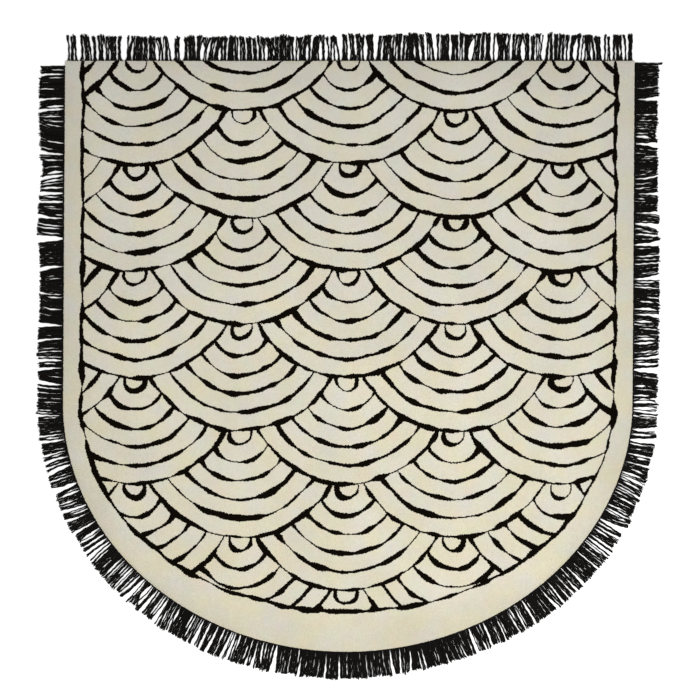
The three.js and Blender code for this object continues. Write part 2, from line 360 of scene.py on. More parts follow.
def arc_mask(tree, x, below, half_width, sizes, pattern):
    """1 on a line of the scales: half discs of nested arcs, in rows that overlap like tiles.

    x is measured from the middle line and below from the straight end. Each row hangs half a
    radius under the last and half a scale aside, and a higher row covers a lower one.
    """
    radius = (sizes.width / 2 - pattern.side_margin) / pattern.columns
    step = radius / 2
    rows = node(tree, "Math", [below, step], operation="DIVIDE")
    row = node(tree, "Math", [rows], operation="FLOOR")
    into_row = node(tree, "Math", [rows, row], operation="SUBTRACT")
    under_own = node(tree, "Math", [into_row, step], operation="MULTIPLY")
    upper_row = node(tree, "Math", [row, 1.0], operation="SUBTRACT")
    upper_parity = node(tree, "Math", [upper_row, 1.0], operation="PINGPONG")
    upper_aside = node(tree, "Math", [upper_parity, radius, x], operation="MULTIPLY_ADD")
    upper_x = node(tree, "Math", [upper_aside, radius], operation="PINGPONG")
    own_x = node(tree, "Math", [radius, upper_x], operation="SUBTRACT")
    upper_y = node(tree, "Math", [under_own, step], operation="ADD")
    lower_y = node(tree, "Math", [under_own, step], operation="SUBTRACT")

    reaches = []
    for across, down in ((upper_x, upper_y), (own_x, under_own), (upper_x, lower_y)):
        spot = node(tree, "CombineXYZ", [across, down])
        reaches.append(node(tree, "VectorMath", [spot], operation="LENGTH"))
    upper, own, lower = reaches
    outline = radius - pattern.thick / 2
    covered = []
    for reach in (upper, own):
        inner_side = node(tree, "Math", [reach, half_width], operation="SUBTRACT")
        covered.append(node(tree, "Math", [inner_side, outline], operation="LESS_THAN"))
    lowest = node(tree, "Mix", {"Factor": covered[1], "A": lower, "B": own})
    reach = node(tree, "Mix", {"Factor": covered[0], "A": lowest, "B": upper})
    inward = node(tree, "Math", [outline, reach], operation="SUBTRACT")
    off_line = node(tree, "Math", [inward, pattern.ring_spacing / 2], operation="PINGPONG")
    return node(tree, "Math", [off_line, half_width], operation="LESS_THAN")


def border_masks(tree, x, below, half_width, sizes, pattern):
    """Whether a spot is inside the patterned field, and whether it is on the line round it."""
    across = sizes.width / 2 - pattern.side_margin
    down = sizes.round_end - pattern.round_margin
    beyond = node(tree, "Math", [below, sizes.straight_side], operation="SUBTRACT")
    past = node(tree, "Math", [beyond, 0.0], operation="MAXIMUM")
    spot = node(tree, "CombineXYZ", [x, past])
    half_axes = (across, down, 1.0)
    shares = node(tree, "VectorMath", [spot, half_axes], operation="DIVIDE")
    slopes = node(tree, "VectorMath", [shares, half_axes], operation="DIVIDE")
    share = node(tree, "VectorMath", [shares], operation="LENGTH")
    slope = node(tree, "VectorMath", [slopes], operation="LENGTH")
    inside = node(tree, "Math", [share, 1.0], operation="LESS_THAN")

    # Near the line, its distance is (share - 1) * share / slope
    from_line = node(tree, "Math", [share, 1.0], operation="SUBTRACT")
    either_side = node(tree, "Math", [from_line], operation="ABSOLUTE")
    off_line = node(tree, "Math", [either_side, share], operation="MULTIPLY")
    allowed = node(tree, "Math", [slope, half_width], operation="MULTIPLY")
    return inside, node(tree, "Math", [off_line, allowed], operation="LESS_THAN")


def line_mask(tree, tuft_centre, sizes, pattern):
    """1 where a tuft is black. Lines stray and swell as hand-guided tufting does."""
    # Lengths over which a line strays, slowly and quickly, and how far it does each, in wobbles. The
    # slow one is multiplied because noise seldom comes near its ends.
    strays = ((0.16, 4.0), (0.035, 0.6))
    swell_length = 0.085
    moved = tuft_centre
    for length, wobbles in strays:
        source = node(tree, "TexNoise", {"Vector": tuft_centre, "Scale": 1 / length, **SOFT})
        aside = node(
            tree, "VectorMath", [source.outputs["Color"], (0.5, 0.5, 0.5)], operation="SUBTRACT"
        )
        reach = (wobbles * pattern.wobble,) * 3
        moved = node(tree, "VectorMath", [aside, reach, moved], operation="MULTIPLY_ADD")

    spot = node(tree, "SeparateXYZ", [moved])
    below = node(tree, "Math", [PILE_HIGH.y, spot.outputs["Y"]], operation="SUBTRACT")
    middle = PILE_HIGH.x - sizes.width / 2
    from_middle = node(tree, "Math", [spot.outputs["X"], middle], operation="SUBTRACT")
    lean = sizes.lean / (sizes.straight_side + sizes.round_end)
    x = node(tree, "Math", [below, lean, from_middle], operation="MULTIPLY_ADD")

    swell = node(tree, "TexNoise", {"Vector": tuft_centre, "Scale": 1 / swell_length, **SOFT})
    half_width = node(tree, "MapRange", {
        "Value": swell, "From Min": 0.36, "From Max": 0.68,
        "To Min": pattern.thin / 2, "To Max": pattern.thick / 2,
    })
    arcs = arc_mask(tree, x, below, half_width, sizes, pattern)
    inside, border = border_masks(tree, x, below, half_width, sizes, pattern)
    inner_arcs = node(tree, "Math", [arcs, inside], operation="MULTIPLY")
    return node(tree, "Math", [inner_arcs, border], operation="MAXIMUM")


def cream_wool(tree, place, colours):
    """The ground's colour: yellower towards the far end and in patches, in blotches of other tints."""
    dye_size, blotch_size = 0.11, 0.045
    far_warmth = 0.3  # added at the far end, and taken off at the straight end
    dye = node(tree, "TexNoise", {
        "Vector": place, "Scale": 1 / dye_size, "Detail": 2.0, "Roughness": 0.5,
    })
    along = node(tree, "SeparateXYZ", [place])
    farness = node(tree, "MapRange", {
        "Value": along.outputs["Y"], "From Min": PILE_HIGH.y, "From Max": PILE_LOW.y,
        "To Min": -far_warmth, "To Max": far_warmth,
    })
    patches = node(tree, "MapRange", {"Value": dye, "From Min": 0.32, "From Max": 0.68})
    warmth = node(tree, "Math", [patches, farness], operation="ADD", use_clamp=True)
    dyed = node(tree, "Mix", {
        "Factor": warmth, "A": rgba(colours.cream), "B": rgba(colours.warm_cream),
    }, data_type="RGBA")

    # Red, green and blue each vary on their own, by these shares
    tints = Vector((0.12, 0.10, 0.13))
    least = Vector((1, 1, 1)) - tints / 2
    blotches = node(tree, "TexNoise", {"Vector": place, "Scale": 1 / blotch_size, **SOFT})
    tint = node(
        tree, "VectorMath", [blotches.outputs["Color"], tints, least], operation="MULTIPLY_ADD"
    )
    return node(tree, "VectorMath", [dyed, tint], operation="MULTIPLY")


def wool_shade(tree, place, tufts, fibres):
    """How light the pile is beside the usual, at each place of it."""
    patch_size, fleck_size = 0.3, 0.013
    own_shade = node(tree, "SeparateColor", [tufts.outputs["Color"]])
    patches = node(tree, "TexNoise", {
        "Vector": place, "Scale": 1 / patch_size, "Detail": 3.0, "Roughness": 0.55,
    })
    flecks = node(tree, "TexNoise", {"Vector": place, "Scale": 1 / fleck_size, **SOFT})

    # Dyed wool varies from tuft to tuft, and in soft patches and flecks as the pile leans this way or
    # that. A tuft's fibres are cut across, lighter and darker, and light is lost between two tufts.
    # Each row has the shades at both ends of its source's range.
    rows = (
        (own_shade.outputs["Red"], (0.0, 1.0), (0.955, 1.035), "LINEAR"),
        (patches, (0.3, 0.7), (0.945, 1.045), "LINEAR"),
        (flecks, (0.3, 0.7), (0.98, 1.02), "LINEAR"),
        (fibres, (0.3, 0.7), (0.93, 1.09), "LINEAR"),
        (tufts.outputs["Distance"], (0.25, 0.75), (1.03, 0.80), "SMOOTHSTEP"),
    )
    # The pile's tone carries painted shade, darker towards its edge where it leans outwards, and on
    # the rim a painted highlight
    shade = node(tree, "Attribute", attribute_name="tone").outputs["Fac"]
    for source, (low, high), (shade_low, shade_high), curve in rows:
        part = node(tree, "MapRange", {
            "Value": source, "From Min": low, "From Max": high,
            "To Min": shade_low, "To Max": shade_high,
        }, interpolation_type=curve)
        shade = node(tree, "Math", [shade, part], operation="MULTIPLY")
    return shade


def wool_pile_material(sizes, pattern, colours):
    """Cut wool pile, hand tufted: matt, softly mottled, its lines stepped from tuft to tuft."""
    fibre = 0.0011  # real fibres are far finer, and are drawn this coarse so that they show
    fibre_relief = 0.45  # beside the height of a tuft's dome
    material, tree = new_material("cut wool pile")
    place = node(tree, "TexCoord").outputs["Object"]
    tufts = node(
        tree, "TexVoronoi", {"Vector": place, "Scale": 1 / sizes.tuft, "Randomness": 0.75},
        voronoi_dimensions="2D",
    )
    fibres = node(tree, "TexNoise", {"Vector": place, "Scale": 1 / fibre, **FIBROUS})
    dyed = node(tree, "Mix", {
        "Factor": line_mask(tree, tufts.outputs["Position"], sizes, pattern),
        "A": cream_wool(tree, place, colours), "B": rgba(colours.black),
    }, data_type="RGBA")
    shade = wool_shade(tree, place, tufts, fibres)
    colour = node(tree, "VectorMath", {0: dyed, "Scale": shade}, operation="SCALE")

    # Each tuft is a small dome of fibres
    dome = node(tree, "MapRange", {
        "Value": tufts.outputs["Distance"], "From Min": 0.0, "From Max": 0.75,
        "To Min": 1.0, "To Max": 0.0,
    }, interpolation_type="SMOOTHSTEP")
    height = node(tree, "Math", [fibres, fibre_relief, dome], operation="MULTIPLY_ADD")
    bump = node(tree, "Bump", {"Strength": 0.45, "Distance": 0.0012, "Height": height})
    shader = node(tree, "BsdfPrincipled", {
        "Base Color": colour, "Roughness": 0.96, "Specular IOR Level": 0.02,
        "Sheen Weight": 0.005, "Sheen Roughness": 0.6, "Normal": bump,
    })
    node(tree, "OutputMaterial", {"Surface": shader})
    return material


def yarn_material(colours):
    """Black worsted yarn of two plies: dull, with a fine twist that catches a little light."""
    ply_count = 2
    lay = 0.014  # length of one full turn of the plies
    fibre = 0.0009  # as coarse as in the pile, for the same reason
    ply_light = 0.6  # painted light and shade: how much lighter a ply's crown is coloured than the groove beside it
    fibre_relief = 0.4  # beside the height of a ply
    material, tree = new_material("two-ply black wool yarn")
    along = node(tree, "UVMap", uv_map="yarn")
    place = node(tree, "SeparateXYZ", [along])
    turns = node(
        tree, "Math", [place.outputs["Y"], 1 / lay, place.outputs["X"]], operation="MULTIPLY_ADD"
    )
    angle = node(tree, "Math", [turns, 2 * math.pi * ply_count], operation="MULTIPLY")
    wave = node(tree, "Math", [angle], operation="SINE")
    plies = node(tree, "MapRange", {"Value": wave, "From Min": -1.0, "From Max": 1.0})
    surface = node(tree, "TexCoord").outputs["Object"]
    fibres = node(tree, "TexNoise", {"Vector": surface, "Scale": 1 / fibre, **FIBROUS})
    own = node(tree, "Attribute", attribute_name="shade").outputs["Fac"]
    raised = node(tree, "Math", [plies, ply_light, own], operation="MULTIPLY_ADD")
    lit = node(tree, "Math", [raised, fibres], operation="MULTIPLY")
    # Painted shade in the grooves and painted light on the ply crowns, mixed with each yarn's own
    # shade and its fibres
    colour = node(tree, "Mix", {
        "Factor": lit, "A": rgba(colours.groove), "B": rgba(colours.yarn),
    }, data_type="RGBA")
    height = node(tree, "Math", [fibres, fibre_relief, plies], operation="MULTIPLY_ADD")
    bump = node(tree, "Bump", {"Strength": 0.6, "Distance": 0.0008, "Height": height})
    shader = node(tree, "BsdfPrincipled", {
        "Base Color": colour, "Roughness": 0.88, "Specular IOR Level": 0.03,
        "Sheen Weight": 0.015, "Sheen Roughness": 0.5, "Normal": bump,
    })
    node(tree, "OutputMaterial", {"Surface": shader})
    return material


def backing_material(colours):
    """Woven cotton backing cloth: a plain weave, drawn at 3 mm so that it shows at all."""
    thread = 0.003
    bands = math.pi / 10 / thread  # a wave texture of scale 1 has bands of pi / 10
    material, tree = new_material("woven cotton backing")
    place = node(tree, "TexCoord").outputs["Object"]
    threads = []
    for direction in ("X", "Y"):
        threads.append(node(
            tree, "TexWave", {"Vector": place, "Scale": bands, "Distortion": 0.4, "Detail": 1.0},
            bands_direction=direction,
        ).outputs["Fac"])
    weave = node(tree, "Math", threads, operation="MAXIMUM")
    shade = node(tree, "MapRange", {"Value": weave, "To Min": 0.82, "To Max": 1.0})
    colour = node(tree, "VectorMath", {0: colours.backing, "Scale": shade}, operation="SCALE")
    bump = node(tree, "Bump", {"Strength": 0.5, "Distance": 0.0005, "Height": weave})
    shader = node(tree, "BsdfPrincipled", {
        "Base Color": colour, "Roughness": 0.95, "Specular IOR Level": 0.2, "Normal": bump,
    })
    node(tree, "OutputMaterial", {"Surface": shader})
    return material


def floor_material(colours):
    """Matt white studio floor."""
    material, tree = new_material("matt white floor")
    shader = node(tree, "BsdfPrincipled", {
        "Base Color": rgba(colours.floor), "Roughness": 0.9, "Specular IOR Level": 0.1,
    })
    node(tree, "OutputMaterial", {"Surface": shader})
    return material


def eased(share):
    """0 below 0 and 1 above 1, with a smooth start and end between."""
    share = np.clip(share, 0, 1)
    return share * share * (3 - 2 * share)


def unit(vectors):
    return vectors / np.linalg.norm(vectors, axis=-1, keepdims=True)


def turned_left(directions):
    """Directions in plan, each turned a quarter turn to its left."""
    return np.stack([-directions[..., 1], directions[..., 0]], axis=-1)


def lean_at(sizes, y):
    """How far the rug's middle line has moved to the left at a place along its length."""
    return sizes.lean * (sizes.straight_side - y) / (sizes.straight_side + sizes.round_end)


def in_frame(sizes, x, y):
    """Places measured from the middle of the round end's start, as the frame has them."""
    middle = PILE_HIGH.x - sizes.width / 2
    start = PILE_HIGH.y - sizes.straight_side
    return np.stack([x - lean_at(sizes, y) + middle, y + start], axis=-1)


def straight_stations(sizes, start, end, shares):
    """Points along a straight edge, the directions that point away from the rug there, its length."""
    start, end = in_frame(sizes, *start), in_frame(sizes, *end)
    outward = np.tile(-turned_left(unit(end - start)), (len(shares), 1))
    return start + shares[:, None] * (end - start), outward, np.linalg.norm(end - start)


def round_stations(sizes, shares):
    """The same for the round end, from the left side to the right, by equal lengths of its edge."""
    angles = np.linspace(np.pi, 2 * np.pi, ROUND_SAMPLES)
    half, depth = sizes.width / 2, sizes.round_end
    fine = in_frame(sizes, half * np.cos(angles), depth * np.sin(angles))
    run = np.concatenate([[0], np.cumsum(np.linalg.norm(np.diff(fine, axis=0), axis=1))])
    at = np.interp(shares * run[-1], run, angles)
    points = in_frame(sizes, half * np.cos(at), depth * np.sin(at))
    slope = sizes.lean / (sizes.straight_side + depth)
    along = np.stack([-half * np.sin(at) + slope * depth * np.cos(at), depth * np.cos(at)], axis=-1)
    return points, -turned_left(unit(along)), run[-1]


def edge_stations(sizes, edge, shares, bare):
    """Points, outward directions and length of one edge. bare says how much is left at its ends."""
    half, side = sizes.width / 2, sizes.straight_side
    if edge == "round":
        return round_stations(sizes, shares)
    ends = {
        "top": ((half - bare["corner"], side), (bare["corner"] - half, side)),
        "left": ((-half, side - bare["left"]), (-half, 0.0)),
        "right": ((half, 0.0), (half, side - bare["right"])),
    }
    return straight_stations(sizes, *ends[edge], shares)


def edge_length(sizes, edge, bare):
    return edge_stations(sizes, edge, np.zeros(1), bare)[2]


def level_profile(sizes):
    """Distance out and height of each ring from the level top to the floor."""
    turn = np.linspace(0, np.pi / 2, EDGE_STEPS + 1)
    out = [*(sizes.edge_round * np.sin(turn)), sizes.edge_round]
    high = [*(sizes.height - sizes.edge_round * (1 - np.cos(turn))), 0.0]
    return np.array(out), np.array(high)


def sheet_places(sizes, u, v, inset):
    """Where the points of a square sheet go on the rug, and which way is out at its rim.

    u and v run from -1 to 1. The far part of the square closes into half an ellipse.
    """
    rounding = 1e-6  # how far a place may be off by rounding alone
    half = sizes.width / 2 - inset
    straight = sizes.straight_side - inset
    depth = sizes.round_end - inset
    down = (1 - v) / 2 * (straight + depth)
    past = np.clip((down - straight) / depth, 0, 1)
    x = half * u * np.sqrt(1 - past ** 2 / 2)
    y = np.where(past > 0, -depth * past * np.sqrt(1 - u ** 2 / 2), straight - down)

    on_side = np.abs(u) > 1 - rounding
    on_top = v > 1 - rounding
    out_x = np.where(past > 0, x / half ** 2, np.where(on_side, np.sign(u), 0))
    out_y = np.where(past > 0, y / depth ** 2, np.where(on_top, 1.0, 0))
    size = np.maximum(np.hypot(out_x, out_y), rounding)
    return x, y, out_x / size, out_y / size


def square_sheet(rings):
    """A square grid with rings extruded down from its rim, one unit each, and a floor to close it."""
    bpy.ops.object.select_all(action="DESELECT")
    bpy.ops.mesh.primitive_grid_add(x_subdivisions=PILE_COLUMNS, y_subdivisions=PILE_ROWS, size=2)
    sheet = bpy.context.object
    bpy.ops.object.mode_set(mode="EDIT")
    bpy.ops.mesh.select_all(action="SELECT")
    bpy.ops.mesh.region_to_loop()
    for _ in range(rings):
        bpy.ops.mesh.extrude_edges_move(TRANSFORM_OT_translate={"value": (0, 0, -1)})
    bpy.ops.mesh.edge_face_add()
    bpy.ops.mesh.select_all(action="SELECT")
    bpy.ops.mesh.normals_make_consistent(inside=False)
    bpy.ops.object.mode_set(mode="OBJECT")
    return sheet


def vertex_places(mesh):
    places = np.zeros(len(mesh.vertices) * 3)
    mesh.vertices.foreach_get("co", places)
    return places.reshape(-1, 3)


def set_places(mesh, places):
    mesh.vertices.foreach_set("co", places.astype(np.float32).ravel())
    mesh.update()


def set_value(mesh, name, values):
    """Gives each point of a mesh a number, for its material to read."""
    attribute = mesh.attributes.new(name, "FLOAT", "POINT")
    attribute.data.foreach_set("value", values.astype(np.float32))


def corner_points(mesh):
    """The number of the point at each corner of each face."""
    points = np.zeros(len(mesh.loops), dtype=int)
    mesh.loops.foreach_get("vertex_index", points)
    return points


def set_uv(mesh, name, uv):
    layer = mesh.uv_layers[0]
    layer.name = name
    layer.data.foreach_set("uv", uv.ravel())


def lay_uv_map(mesh, sizes, flat, underside):
    """Spreads the top and rim over the whole map, and puts the underside small in a free corner."""
    margin = 3 * sizes.height  # room for the rim, which is folded out flat
    small, from_corner = 0.1, 0.005
    span = max(sizes.width, sizes.straight_side + sizes.round_end) + 2 * margin
    middle = (flat.max(axis=0) + flat.min(axis=0)) / 2
    uv = (flat[corner_points(mesh)] - middle) / span + 0.5
    for face in underside:
        under = slice(face.loop_start, face.loop_start + face.loop_total)
        uv[under] = uv[under] * small + from_corner
    set_uv(mesh, "OFBake", uv)


def lay_pile(sizes, pattern, colours):
    """The rug itself: one sheet of pile and backing with a round-over along its top edge."""
    out, high = level_profile(sizes)
    pile = square_sheet(len(out) - 1)
    pile.name = "pile"
    square = vertex_places(pile.data)
    level = np.rint(-square[:, 2]).astype(int)
    inset = sizes.edge_round + RIM_RELIEF * sizes.rim_tuft
    x, y, out_x, out_y = sheet_places(sizes, square[:, 0], square[:, 1], inset)

    # A rug on a floor rises and falls a little, less towards its edge, where the pile leans outwards
    # and so lies lower
    hills, noise_layer = 2.6, 0.4  # how many the noise has in a metre, and the layer they are from
    inward = (1 - np.maximum(np.abs(square[:, 0]), np.abs(square[:, 1]))) * sizes.width / 2
    fade = np.clip(inward / WAVE_FADE, 0, 1)
    spots = (Vector((hills * a, hills * b, noise_layer)) for a, b in zip(x, y))
    waves = np.array([noise.noise(spot) for spot in spots])
    fallen = np.clip(1 - inward / sizes.edge_run, 0, 1) ** 2 * sizes.edge_fall / sizes.height
    z = high[level] * (1 - fallen) + sizes.waves * waves * fade * (level == 0)
    x, y = x + out_x * out[level], y + out_y * out[level]
    set_places(pile.data, np.column_stack([in_frame(sizes, x, y), z]))
    # Painted shade: the pile's tone darkens over its last stretch towards the edge
    set_value(pile.data, "tone", PAINTED_EDGE_SHADE + (1 - PAINTED_EDGE_SHADE) * eased(inward / EDGE_SHADE_RUN))

    # On the map the rim is folded out flat, as far as its height
    unfolded = np.concatenate([[0], np.cumsum(np.hypot(np.diff(out), np.diff(high)))])
    extra = unfolded[level] - out[level]
    flat = in_frame(sizes, x + out_x * extra, y + out_y * extra)
    underside = [face for face in pile.data.polygons if face.loop_total > 4]
    lay_uv_map(pile.data, sizes, flat, underside)
    pile.data.materials.append(wool_pile_material(sizes, pattern, colours))
    pile.data.materials.append(backing_material(colours))
    for face in underside:
        face.material_index = 1

    bpy.ops.object.shade_smooth_by_angle(angle=PILE_CREASE)
    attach(pile, "root")
    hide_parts("rug_pile")


def tubes(name, count, sides, steps):
    """count straight closed tubes in one mesh: one is modelled, and an array repeats it.

    Returns the object with, for each point of one tube, its step and its angle round the tube.
    """
    bpy.ops.object.select_all(action="DESELECT")
    bpy.ops.mesh.primitive_circle_add(vertices=sides, radius=1, fill_type="NGON")
    tube = bpy.context.object
    tube.name = name
    bpy.ops.object.mode_set(mode="EDIT")
    bpy.ops.mesh.select_all(action="SELECT")
    for _ in range(steps):
        bpy.ops.mesh.extrude_region_move(TRANSFORM_OT_translate={"value": (0, 0, 1)})
    bpy.ops.mesh.select_all(action="SELECT")
    bpy.ops.mesh.normals_make_consistent(inside=False)
    bpy.ops.object.mode_set(mode="OBJECT")
    one = vertex_places(tube.data)
    repeat = tube.modifiers.new("repeat", "ARRAY")
    repeat.count = count
    repeat.use_relative_offset = False
    bpy.ops.object.modifier_apply(modifier=repeat.name)
    return tube, np.rint(one[:, 2]).astype(int), np.arctan2(one[:, 1], one[:, 0])


def shape_tubes(tube, step, angle, centres, half_width, half_height):
    """Moves each tube onto its row of centres. It stays level, and turns with its path in plan."""
    course = np.gradient(centres, axis=1)
    level = np.zeros(course.shape[:2])
    side = unit(np.stack([course[..., 1], -course[..., 0], level], axis=-1))
    lift = unit(np.cross(side, course))
    half_height = np.broadcast_to(half_height, half_width.shape)
    across = (half_width[:, step] * np.cos(angle))[..., None] * side[:, step]
    up = (half_height[:, step] * np.sin(angle))[..., None] * lift[:, step]
    set_places(tube.data, (centres[:, step] + across + up).reshape(-1, 3))


def wrap_uv(mesh, angle, step_length, step, starts):
    """A map for a yarn's twist: once round is 1 across, and metres along the yarn run up it."""
    count = len(mesh.vertices) // len(step)
    around = np.tile(angle / (2 * np.pi) % 1, count)
    along = np.concatenate([start + step * length for start, length in zip(starts, step_length)])
    points = corner_points(mesh)
    uv = np.column_stack([around[points], along[points]])

    # A face that crosses the seam takes its far corners from the next turn
    first = np.zeros(len(mesh.polygons), dtype=int)
    mesh.polygons.foreach_get("loop_start", first)
    widest = np.maximum.reduceat(uv[:, 0], first)
    total = np.diff(np.append(first, len(points)))
    crosses = np.repeat(widest, total) - uv[:, 0] > 0.5
    uv[crosses, 0] += 1
    set_uv(mesh, "yarn", uv)


def set_shade(mesh, shades):
    """Gives every yarn its own shade, for its material to read."""
    set_value(mesh, "shade", np.repeat(shades, len(mesh.vertices) // len(shades)))


def smooth_blend(t, rise, root, belly, tip):
    """A value that eases from root through belly to tip. The lower rise is, the sooner it rises."""
    return root + (belly - root) * eased(2 * t ** rise) + (tip - belly) * eased(2 * t - 1)


def form_of(lock):
    """Each pass through the table takes the forms with another stride, so that no stretch repeats."""
    count = len(LOCK_FORMS)
    turn, place = divmod(lock, count)
    stride = 1 + turn % (count - 1)
    return LOCK_FORMS[(place * stride + turn) % count]


def sway_at(along, run, length):
    """How far the tips lean along the edge, at distances from the start of a run."""
    fade = np.clip(np.minimum(along, length - along) / SWAY_FADE, 0, 1)
    return fade * sum(
        sway["lean"] * np.sin(2 * np.pi * along / sway["wave"] + run["first_lock"]) for sway in SWAYS
    )


def reach_along(fringe, edge, share):
    """Fringe length at shares of an edge. Round the far end it grows from each side to the middle."""
    if edge == "round":
        fullness = 0.35  # the lower, the sooner it is as long as at the middle
        share = np.clip(share, 0, 1)
        side = fringe.reach_left + share * (fringe.reach_right - fringe.reach_left)
        return side + np.sin(np.pi * share) ** fullness * (fringe.reach_far - side)
    reach = {"top": fringe.reach_top, "left": fringe.reach_left, "right": fringe.reach_right}[edge]
    return np.full(len(share), reach)


def openness_at(run, share):
    """How far the locks have parted beside the usual, at shares of a run."""
    first, last = run["ends"]
    steps = OPENNESS[run["edge"]]
    return np.interp(first + share * (last - first), np.linspace(0, 1, len(steps)), steps)


def gaps_of(run):
    return LOCK_GAPS["top" if run["edge"] == "top" else "other"]


def part_gaps(run, rng, t):
    """How wide each gap is beside the usual, from root to tip, before each lock and after the last."""
    count = (run["locks"] + 1, 1)
    closing = gaps_of(run)["closing"]
    parted = rng.gamma(GAP_SPREAD ** -2, GAP_SPREAD ** 2, count)
    shuts = rng.uniform(0, 1, count) < closing
    still_open = (1 + TIP_OVERLAP * closing) / (1 - closing)  # so that the usual gap stays the same
    at_tip = np.where(shuts, -TIP_OVERLAP, still_open)
    return parted * (1 + (at_tip - 1) * eased(2 * t - 1))


def lay_locks(run, length, lean, parted, t):
    """Where the middle of each lock runs along the edge and how wide it is there, from root to tip.

    parted says how wide the gap before each lock is beside the usual, and the one after the last.
    """
    gaps = gaps_of(run)
    forms = [form_of(run["first_lock"] + i) for i in range(run["locks"])]
    column = {key: np.array([form[key] for form in forms])[:, None] for key in LOCK_FORMS[0]}
    wide = 1 + gaps["unevenness"] * (column["wide"] - 1)
    end = np.cumsum(wide, axis=0) / wide.sum() * length
    start = end - wide / wide.sum() * length

    start_lean = sway_at(start, run, length) * t ** SWAY_POWER
    end_lean = sway_at(end, run, length) * t ** SWAY_POWER
    room = end + end_lean - start - start_lean
    gap = smooth_blend(t, gaps["rise"], gaps["root"], gaps["belly"], gaps["tip"])
    share = smooth_blend(t, gaps["rise"], column["root"], column["belly"], column["tip"])
    openness = openness_at(run, (start + end) / 2 / length)
    half_gap = openness * gap * share / 2
    before, after = half_gap * parted[:-1], half_gap * parted[1:]
    width = np.maximum(room - before - after, NARROWEST_LOCK * room)
    middle = (start + end + start_lean + end_lean + before - after) / 2 + lean * t ** LEAN_POWER
    return middle, width, openness[:, 0], column["reach"]


def ranks(counts):
    """For each member of groups of these counts, its group and its place in that group."""
    group = np.repeat(np.arange(len(counts)), counts)
    return group, np.arange(len(group)) - (np.cumsum(counts) - counts)[group]


def part_bundles(middle, width, openness, loose, rng, t):
    """The lock, and both sides from root to tip, of each bundle that the locks fall into.

    Between two bundles of a lock a slit opens and closes again, and each side wanders a little. The
    more open the fringe, the finer its bundles.
    """
    bundle = loose["bundle"] / np.sqrt(openness)
    counts = np.maximum(1, np.rint(width.mean(axis=1) / bundle)).astype(int)
    lock, cut = ranks(counts + 1)
    number = len(cut)
    inside = (cut > 0) & (cut < counts[lock])
    share = (cut + inside * rng.uniform(-CUT_JITTER, CUT_JITTER, number)) / counts[lock]
    widest = rng.uniform(*SLIT["widest"], (number, 1))
    reach = rng.uniform(*SLIT["reach"], (number, 1))
    opens = inside & (rng.uniform(0, 1, number) < loose["cuts"])
    size = loose["slit"] * openness[lock][:, None] * rng.uniform(*SLIT["width"], (number, 1))
    slit = opens[:, None] * size * np.clip(1 - ((t - widest) / reach) ** 2, 0, 1)
    turns, phase = rng.uniform(*WANDER["turns"], (number, 1)), rng.uniform(0, 1, (number, 1))
    wander = WANDER["far"] * np.sqrt(t) * np.sin(2 * np.pi * (turns * t + phase))
    line = middle[lock] + (share[:, None] - 0.5) * width[lock] + wander

    owner, _ = ranks(counts)
    before = np.arange(len(owner)) + owner  # a lock has one more cut line than it has bundles
    start = line[before] + slit[before] / 2
    end = line[before + 1] - slit[before + 1] / 2
    return owner, start, end


def fill_bundles(start, end, fringe, loose, rng, t):
    """Puts as many yarns side by side between a bundle's sides as its width calls for.

    Most yarns stray a little from their bundle, and a few stray far. Returns each yarn's bundle, its
    rank there, its line from root to tip and where its waves begin.
    """
    counts = np.maximum(1, np.rint((end - start).mean(axis=1) / fringe.spacing)).astype(int)
    bundle, rank = ranks(counts)
    number = len(bundle)
    place = rank + rng.uniform(-STRAY["spot"], STRAY["spot"], number)
    spot = place / np.maximum(counts[bundle] - 1, 1) - 0.5
    spot = np.where(counts[bundle] > 1, spot, 0.0)
    room = np.maximum(end - start - FILL_INSET * fringe.yarn, 0.0)
    line = ((start + end) / 2)[bundle] + spot[:, None] * room[bundle]

    far = rng.standard_t(STRAY["tails"], (number, 1)).clip(-STRAY["limit"], STRAY["limit"])
    side, phase = rng.uniform(-1, 1, (number, 1)), rng.uniform(0, 1, (number, 1))
    wave = YARN_WAVE["far"] * side * np.sqrt(t) * np.sin(2 * np.pi * (YARN_WAVE["turns"] * t + phase))
    return bundle, rank, line + loose["stray"] * far * t ** STRAY_POWER + wave, phase


def tip_reach(fringe, run, place, whole, lock, reach_share, rng):
    """How far out each yarn ends: by its place on the edge, by its lock, and by its own uneven cut."""
    wave = TIP_WAVES[run["edge"]]
    from_end = np.minimum(place, whole - place)
    swell = wave["swell"] * np.sin(2 * np.pi * place / wave["wave"] + wave["start"])
    swell *= np.clip(from_end / TIP_WAVE_FADE, 0, 1)
    lock_cut = rng.normal(0, LOCK_CUT, len(reach_share))
    own_cut = rng.normal(0, YARN_CUT, len(lock))
    uneven = LOOSENESS[run["edge"]]["ragged"] * (lock_cut[lock] + own_cut)
    reach = reach_along(fringe, run["edge"], place / whole) * reach_share[lock, 0]
    last_yarns = place > run["ends"][1] * whole - TAIL_WIDTH
    tail = run["tail"] * last_yarns * rng.uniform(*TAIL_CUT, len(lock))
    return np.minimum(reach + swell + uneven, fringe.longest) + tail


def crimp_bundles(out, bundle, loose, rng, t):
    """How far each yarn waves to and fro with its bundle, at distances out from the edge."""
    number = bundle[-1] + 1
    wave = rng.uniform(*CRIMP_WAVES, (number, 1))[bundle]
    start = rng.uniform(0, 1, (number, 1))[bundle] + rng.normal(0, CRIMP_SHIFT, (len(bundle), 1))
    waved = np.sin(2 * np.pi * (out / wave + start)) * np.clip(t / CRIMP_START, 0, 1)
    return loose["crimp"] * waved


def resting_height(fringe, past_root, rank, phase, t):
    """Height of the yarns: down from their heading onto the floor, in layers."""
    radius = fringe.yarn / 2
    weave = LAYERS["weave"] * np.sin(2 * np.pi * (LAYERS["turns"] * t + phase))
    layer = LAYERS["rise"] * radius * ((rank % LAYERS["count"])[:, None] + weave)
    return radius + np.maximum(layer, 0) + DROP["far"] * np.exp(-past_root / DROP["over"])


